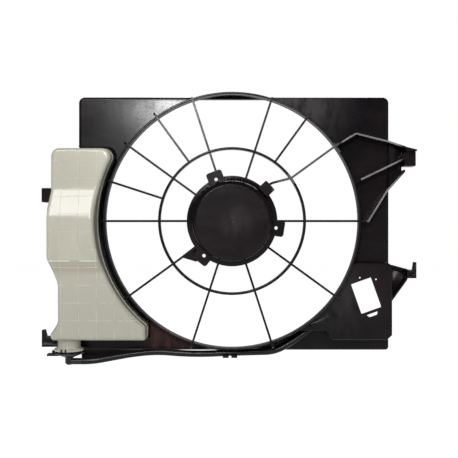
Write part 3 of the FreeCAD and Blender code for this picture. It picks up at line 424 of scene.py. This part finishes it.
def makeReservoir():
    # blow-moulded natural plastic: cloudy wall, fine skin, painted shade darker towards the bottom and brown
    # in the hollow under the step
    paint = Paint("naturalPlastic")
    deep, up = paint.parts(paint.place)[1:]
    cloudy = paint.noise(**reservoir["cloudy"])
    streaks = paint.noise(**reservoir["streaks"])
    pale = paint.between(cloudy, *reservoir["cloudyFrom"])
    base = paint.mix(pale, reservoir["shade"], reservoir["light"])
    green = paint.between(streaks, *reservoir["streaksFrom"]) * reservoir["streaksShare"]
    base = paint.mix(green, base, reservoir["greenish"])
    # painted shade: the wall darker towards the bottom
    low = (1 - paint.between(up, *reservoir["lowFrom"])) * reservoir["lowShare"]
    base = paint.mix(low, base, reservoir["low"])
    # painted shade: brown in the hollow under the step, on the front only
    offHollow = ((up + reservoir["hollow"]) * reservoir["hollowSharpness"]).maths("ABSOLUTE")
    under = 1 - paint.between(offHollow, *reservoir["hollowFrom"])
    front = 1 - paint.between(deep, *reservoir["frontDepth"])
    base = paint.mix(under * front * reservoir["hollowShare"], base, reservoir["brown"])
    skin = paint.noise(**reservoir["skin"])
    return paint.finish({
        "Base Color": base,
        "Roughness": paint.between(cloudy, *reservoir["roughFrom"], *reservoir["roughness"]),
        "Normal": paint.bump(skin, reservoir["skinHeight"], reservoir["skinStrength"]),
        "Subsurface Weight": reservoir["scatter"],
        "Subsurface Radius": reservoir["scatterColour"],
        "Subsurface Scale": reservoir["scatterDepth"],
    })


ridgeLine = {
    "dark": reservoir["light"],
    "pale": colour(0.57, 0.56, 0.485),
    "cloudy": {"scale": 90.0, "detail": 2.0},
    "cloudyFrom": (0.3, 0.7),
    "roughness": (0.3, 0.4),
    "height": 0.00003,
    "strength": 0.3,
}


def makeRidgeLine():
    # thicker plastic over the baffle walls reads a little paler
    paint = Paint("ridgeLine")
    cloudy = paint.noise(**ridgeLine["cloudy"])
    pale = paint.between(cloudy, *ridgeLine["cloudyFrom"])
    return paint.finish({
        "Base Color": paint.mix(pale, ridgeLine["dark"], ridgeLine["pale"]),
        "Roughness": paint.between(cloudy, *ridgeLine["cloudyFrom"], *ridgeLine["roughness"]),
        "Normal": paint.bump(cloudy, ridgeLine["height"], ridgeLine["strength"]),
    })


rubber = {
    "dark": colour(0.0040, 0.0040, 0.0065),
    "pale": colour(0.010, 0.010, 0.013),
    "streaks": {"scale": 60.0, "detail": 3.0, "stretch": (0.15, 1.0, 1.0)},
    "skin": {"scale": 900.0, "detail": 2.0},
    "skinHeight": 0.00002,
    "skinStrength": 0.4,
    "streaksFrom": (0.4, 0.7),
    "roughFrom": (0.3, 0.7),
    "roughness": (0.22, 0.32),
    "shine": 0.2,
}


def makeRubber(name):
    # extruded rubber: faint lengthwise streaks and a soft shine
    paint = Paint(name)
    streaks = paint.noise(**rubber["streaks"])
    skin = paint.noise(**rubber["skin"])
    pale = paint.between(streaks, *rubber["streaksFrom"])
    return paint.finish({
        "Base Color": paint.mix(pale, rubber["dark"], rubber["pale"]),
        "Roughness": paint.between(streaks, *rubber["roughFrom"], *rubber["roughness"]),
        "Normal": paint.bump(skin, rubber["skinHeight"], rubber["skinStrength"]),
        "Specular IOR Level": rubber["shine"],
    })


capFinish = {
    "dark": colour(0.0055, 0.0050, 0.0062),
    "pale": colour(0.012, 0.011, 0.013),
    "marks": {"scale": 55.0, "detail": 4.0},
    "grain": {"scale": 1300.0, "detail": 2.0},
    "grainHeight": 0.000015,
    "grainStrength": 0.5,
    "edgeRadius": 0.0006,
    "edgeSamples": 4,
    "marksFrom": (0.45, 0.7),
    "roughFrom": (0.3, 0.7),
    "roughness": (0.26, 0.42),
    "shine": 0.3,
}


def makeCapPlastic():
    # satin plastic with finger marks
    paint = Paint("capPlastic")
    bevel = {"Radius": capFinish["edgeRadius"]}
    rounded = paint.node("ShaderNodeBevel", {"samples": capFinish["edgeSamples"]}, bevel)
    marks = paint.noise(**capFinish["marks"])
    grain = paint.noise(**capFinish["grain"])
    pale = paint.between(marks, *capFinish["marksFrom"])
    return paint.finish({
        "Base Color": paint.mix(pale, capFinish["dark"], capFinish["pale"]),
        "Roughness": paint.between(marks, *capFinish["roughFrom"], *capFinish["roughness"]),
        "Normal": paint.bump(grain, capFinish["grainHeight"], capFinish["grainStrength"], rounded),
        "Specular IOR Level": capFinish["shine"],
    })


naturalPlastic = makeReservoir()
ridgeFinish = makeRidgeLine()
materials = {
    "moulding": makeMoulding(),
    "reservoir": naturalPlastic,
    "tube": naturalPlastic,
    "hose": makeRubber("hoseRubber"),
    "seal": makeRubber("sealRubber"),
    "cap": makeCapPlastic(),
}
slots = {part["node"]: part["material_slot"] for part in frame["record"]["subparts"]}
for name, node in nodeObjects.items():
    node.data.materials.clear()
    node.data.materials.append(materials[slots[name]])
print("materials made:", len(materials))


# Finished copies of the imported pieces: welded, shaded smooth, edges and flat faces kept

copies = {
    "hidden": {"front_baffles", "rear_baffles", "overflow_hose"},
    "weld": 0.000002,
    "sharp": 30.0,
    "crisp": {"control_platform": 17.0, "motor_cup": 17.0, "cable_outlet": 17.0},
}


def finishedCopy(name, piece):
    mesh = nodeObjects[name].data.copy()
    work = bmesh.new()
    work.from_mesh(mesh)
    bmesh.ops.remove_doubles(work, verts=work.verts, dist=copies["weld"])
    work.to_mesh(mesh)
    work.free()
    mesh.shade_smooth()
    mesh.set_sharp_from_angle(angle=math.radians(copies["crisp"].get(name, copies["sharp"])))
    made = newObject(piece, mesh)
    made.modifiers.new("flatFaces", "WEIGHTED_NORMAL").keep_sharp = True
    depsgraph = bpy.context.evaluated_depsgraph_get()
    depsgraph.update()
    mesh = bpy.data.meshes.new_from_object(made.evaluated_get(depsgraph), depsgraph=depsgraph)
    made.modifiers.clear()
    mesh.name = piece
    made.data = mesh
    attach(made, nodeObjects[name]["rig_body"])
    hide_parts(name)
    return made


finished = {}
for name in sorted(set(nodeObjects) - copies["hidden"]):
    words = name.split("_")
    finished[name] = finishedCopy(name, words[0] + "".join(word.capitalize() for word in words[1:]))
print("pieces finished")


# Lines on the reservoir: ridges over its baffle walls, the step's edge, and the weld bead

baffleLines = {
    "across": {"First": 0.0882, "Count": 10, "Radius": 0.0004, "Kept": 0.42},
    "upright": {"First": -0.2500, "Count": 5, "Radius": 0.0004, "Kept": 0.42},
    "step": {"First": -0.0585, "Count": 1, "Radius": 0.0011, "Kept": 0.36},
    "shared": {
        "Pitch": 0.026,
        "Points": 170,
        "Sides": 6,
        "Gap Scale": 55.0,
        "Face Share": -0.6,  # how squarely the wall has to face the front
    },
    "gapDetail": 2.0,
    "startAhead": 0.01,
}


def makeSurfaceLines(name, own, upright):
    # straight lines in front of the shell, cast back onto it and broken up by noise
    low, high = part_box("tank_front_shell")
    ahead = low[1] - baffleLines["startAhead"]
    recipe = Recipe(name, {"Shell": finished["tank_front_shell"], **own, **baffleLines["shared"]})
    first, pitch = recipe.size("First"), recipe.size("Pitch")
    if upright:
        ends = (0.0, ahead, low[2]), (0.0, ahead, high[2])
        start, step = (first, 0.0, 0.0), (pitch, 0.0, 0.0)
    else:
        ends = (low[0], ahead, 0.0), (high[0], ahead, 0.0)
        start, step = (0.0, 0.0, first), (0.0, 0.0, pitch * -1)
    line = recipe.node("GeometryNodeCurvePrimitiveLine", {}, {"Start": ends[0], "End": ends[1]})
    line = recipe.node("GeometryNodeResampleCurve", {}, {"Curve": line, "Count": recipe.size("Points")})
    line = recipe.node("GeometryNodeCurveToMesh", {}, {0: line})
    places = recipe.node("GeometryNodeMeshLine", {}, {
        "Count": recipe.size("Count"),
        "Start Location": recipe.vector(*start),
        "Offset": recipe.vector(*step),
    })
    copied = recipe.node("GeometryNodeInstanceOnPoints", {}, {"Points": places, "Instance": line})
    lines = recipe.node("GeometryNodeRealizeInstances", {}, {0: copied})
    shell = recipe.node("GeometryNodeObjectInfo", {}, {"Object": recipe.size("Shell")}, "Geometry")
    ray = {"Target Geometry": shell, "Ray Direction": (0.0, 1.0, 0.0)}
    cast = recipe.node("GeometryNodeRaycast", {}, ray)
    isHit, place, facing = (
        Value(recipe, cast.socket.node.outputs[key]) for key in ("Is Hit", "Hit Position", "Hit Normal")
    )
    missing = recipe.parts(facing)[1].maths("GREATER_THAN", recipe.size("Face Share"))
    noise = {"Scale": recipe.size("Gap Scale"), "Detail": baffleLines["gapDetail"]}
    gaps = recipe.node("ShaderNodeTexNoise", {}, noise, "Fac").maths("LESS_THAN", recipe.size("Kept"))
    gone = {0: lines, "Selection": missing + gaps + (1 - isHit)}
    lines = recipe.node("GeometryNodeDeleteGeometry", {"domain": "POINT"}, gone)
    lines = recipe.node("GeometryNodeSetPosition", {}, {0: lines, "Position": place})
    recipe.made(name, recipe.wire(lines), "reservoir", "root", finish=ridgeFinish)


makeSurfaceLines("baffleLinesAcross", baffleLines["across"], False)
makeSurfaceLines("baffleLinesUpright", baffleLines["upright"], True)
# the step's edge is a real bead, and its paler ridge finish also stands in as a painted highlight along that
# edge
makeSurfaceLines("stepEdgeLine", baffleLines["step"], False)

weldBead = {
    "sizes": {"Radius": 0.0011, "Sides": 8, "Spacing": 0.003},
    "ahead": 0.0002,
    "level": 0.0001,  # how exactly the seam's edges lie at one depth
    "turn": 40,
}


def longestLoop(mesh, depth):
    # the longest closed run of sharp edges that lies at one depth
    work = bmesh.new()
    work.from_mesh(mesh)
    flat = {}
    for edge in work.edges:
        level = all(abs(vert.co.y - depth) < weldBead["level"] for vert in edge.verts)
        turned = len(edge.link_faces) == 2 and edge.calc_face_angle(0.0) > math.radians(weldBead["turn"])
        if level and turned:
            for vert, other in (edge.verts, reversed(edge.verts)):
                flat.setdefault(vert.index, set()).add(other.index)
    work.verts.ensure_lookup_table()
    loops = []
    while flat:
        start = next(iter(flat))
        loop, here = [], start
        while here in flat:
            loop.append(here)
            nexts = flat.pop(here)
            here = next((n for n in nexts if n in flat), None)
        loops.append([work.verts[i].co.copy() for i in loop])
    work.free()
    return max(loops, key=lambda loop: sum((a - b).length for a, b in zip(loop, loop[1:])))


def makeWeldBead():
    points = longestLoop(finished["tank_front_shell"].data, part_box("tank_front_shell")[1][1])
    base = bpy.data.meshes.new("weldBead")
    links = [(i, (i + 1) % len(points)) for i in range(len(points))]
    base.from_pydata([(p.x, p.y - weldBead["ahead"], p.z) for p in points], links, [])
    recipe = Recipe("weldBead", weldBead["sizes"])
    bead = recipe.wire(recipe.size("Geometry"), recipe.size("Spacing"))
    recipe.made("weldBead", bead, "reservoir", "root", base)


makeWeldBead()


# Grip ridges on the front of the upper right block, and the catches over the neck's lip

blockRidges = {"count": 6, "pitch": 0.003, "height": 0.0007, "width": 0.0011, "margin": 0.0018}


def makeBlockRidges():
    low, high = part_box("upper_right_mount")
    span = high[0] - low[0] - 2 * blockRidges["margin"]
    recipe = Recipe("blockRidges", {
        "Count": blockRidges["count"],
        "Pitch": blockRidges["pitch"],
        "Ridge": (span, blockRidges["height"] * 2, blockRidges["width"]),
    })
    firstUp = (low[2] + high[2]) / 2 - blockRidges["pitch"] * (blockRidges["count"] - 1) / 2
    places = recipe.node("GeometryNodeMeshLine", {}, {
        "Count": recipe.size("Count"),
        "Start Location": ((low[0] + high[0]) / 2, low[1], firstUp),
        "Offset": recipe.vector(0.0, 0.0, recipe.size("Pitch")),
    })
    ridge = recipe.node("GeometryNodeMeshCube", {}, {"Size": recipe.size("Ridge")})
    copied = recipe.node("GeometryNodeInstanceOnPoints", {}, {"Points": places, "Instance": ridge})
    recipe.made("blockRidges", copied, "moulding", "root")


makeBlockRidges()

capLugs = {
    "across": (-0.2503, -0.2442),
    "deep": (-0.0178, -0.0158),
    "up": (-0.1942, -0.1886),
    "width": 0.0022,
    "round": 0.0004,
    "steps": 2,
}


def makeCapLugs():
    work = bmesh.new()
    deep, up = capLugs["deep"], capLugs["up"]
    size = Vector((capLugs["width"], deep[1] - deep[0], up[1] - up[0]))
    for across in capLugs["across"]:
        verts = bmesh.ops.create_cube(work, size=1.0)["verts"]
        bmesh.ops.scale(work, vec=size, verts=verts)
        bmesh.ops.translate(work, vec=(across, sum(deep) / 2, sum(up) / 2), verts=verts)
    rounding = {"offset": capLugs["round"], "segments": capLugs["steps"], "affect": "EDGES"}
    bmesh.ops.bevel(work, geom=work.edges[:], **rounding)
    mesh = bpy.data.meshes.new("capLugs")
    work.to_mesh(mesh)
    work.free()
    mesh.materials.append(materials["cap"])
    made = newObject("capLugs", mesh)
    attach(made, "cap")


makeCapLugs()
print("small parts made")


# Overflow hose, from the cap's nipple to its end under the platform

hose = {
    "radius": 0.005,
    "order": 3,
    "steps": 10,
    "roundness": 6,
    "sharp": 40,
    "route": [
        (-0.2252, 0.006, -0.2095),
        (-0.209, 0.006, -0.2095),
        (-0.180, 0.012, -0.2050),
        (-0.148, 0.0175, -0.2000),
        (-0.112, 0.021, -0.1974),
        (-0.076, 0.0215, -0.2006),
        (-0.042, 0.021, -0.2012),
        (-0.006, 0.020, -0.1993),
        (0.034, 0.0205, -0.1982),
        (0.064, 0.022, -0.1978),
        (0.088, 0.0225, -0.1854),
        (0.108, 0.0225, -0.1715),
        (0.127, 0.022, -0.157),
    ],
    "firstClip": (-0.009, 0.020, -0.1994),
}


def makeHose():
    curve = bpy.data.curves.new("hoseLine", "CURVE")
    curve.dimensions = "3D"
    line = curve.splines.new("NURBS")
    line.points.add(len(hose["route"]) - 1)
    for point, place in zip(line.points, hose["route"]):
        point.co = (*place, 1.0)
    line.order_u = hose["order"]
    line.use_endpoint_u = True
    line.resolution_u = hose["steps"]
    curve.bevel_depth = hose["radius"]
    curve.bevel_resolution = hose["roundness"]
    curve.use_fill_caps = True
    drawn = newObject("hoseLine", curve)
    mesh = plainMesh(drawn, "overflowHose", materials["hose"], hose["sharp"])
    bpy.data.objects.remove(drawn)
    made = newObject("overflowHose", mesh)
    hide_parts("overflow_hose")
    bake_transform(made)


makeHose()
print("hose made")


# Floor, lights and camera

studio = {
    "floorGap": 0.027,  # the cap pulls 25 mm down
    "floorHalf": 4.0,
    "floorColour": colour(0.86, 0.86, 0.86),
    "white": colour(1, 1, 1),
    "floorGlow": 1.14,
    "shadowShare": 0.15,
    "worldLight": 0.17,
}


def anyRay(tree, *names):
    rays = tree.node("ShaderNodeLightPath").socket.node.outputs
    seen = Value(tree, rays[names[0]])
    for name in names[1:]:
        seen = seen.maths("MAXIMUM", Value(tree, rays[name]))
    return seen


def makeFloor():
    half = studio["floorHalf"]
    down = cadBox[0].z - studio["floorGap"]
    mesh = bpy.data.meshes.new("floor")
    corners = [(-half, -half, down), (half, -half, down), (half, half, down), (-half, half, down)]
    mesh.from_pydata(corners, [], [(0, 1, 2, 3)])
    made = newObject("floor", mesh)
    paint = Paint("paleFloor")
    seen = anyRay(paint, "Is Camera Ray", "Is Glossy Ray", "Is Transmission Ray")
    lit = paint.node("ShaderNodeBsdfDiffuse", {}, {"Color": studio["floorColour"]})
    glow = {"Color": studio["white"], "Strength": studio["floorGlow"]}
    bright = paint.node("ShaderNodeEmission", {}, glow)
    share = seen * (1 - studio["shadowShare"])
    mixed = paint.node("ShaderNodeMixShader", {}, {0: share, 1: lit, 2: bright})
    paint.node("ShaderNodeOutputMaterial", {}, {"Surface": mixed})
    mesh.materials.append(paint.material)


def makeWorld():
    world = bpy.data.worlds.new("studio")
    scene.world = world
    world.use_nodes = True
    sky = Tree()
    sky.tree = world.node_tree
    sky.tree.nodes.clear()
    seen = anyRay(sky, "Is Camera Ray", "Is Transmission Ray")
    strength = seen * (1 - studio["worldLight"]) + studio["worldLight"]
    light = sky.node("ShaderNodeBackground", {}, {"Color": studio["white"], "Strength": strength})
    sky.node("ShaderNodeOutputWorld", {}, {"Surface": light})


lamps = {
    "window": {"place": (-0.55, -1.35, 1.05), "size": (1.1, 0.5), "power": 19.0},
    "fill": {"place": (1.3, -1.2, 0.35), "size": (1.0, 1.0), "power": 2.0},
    "behind": {"place": (0.3, 1.4, 1.0), "size": (1.2, 0.8), "power": 14.0},
    "glint": {"place": (-0.193, -1.665, 0.483), "size": (0.26, 0.14), "power": 12.5},
}


def makeLamps():
    for name, lamp in lamps.items():
        data = bpy.data.lights.new(name, "AREA")
        data.shape = "RECTANGLE"
        data.size, data.size_y = lamp["size"]
        data.energy = lamp["power"]
        made = newObject(name, data)
        made.location = lamp["place"]
        made.rotation_euler = (-Vector(lamp["place"])).to_track_quat("-Z", "Y").to_euler()


camera = {"place": (-0.0045, -1.1, -0.0118), "lens": 58.1, "sensor": 36.0, "tilt": 90}


def makeCamera():
    data = bpy.data.cameras.new("camera")
    data.lens = camera["lens"]
    data.sensor_width = camera["sensor"]
    made = newObject("camera", data)
    made.location = camera["place"]
    made.rotation_euler = (math.radians(camera["tilt"]), 0, 0)
    scene.camera = made


makeFloor()
makeWorld()
makeLamps()
makeCamera()
scene.view_settings.view_transform = "Standard"
print("studio made")
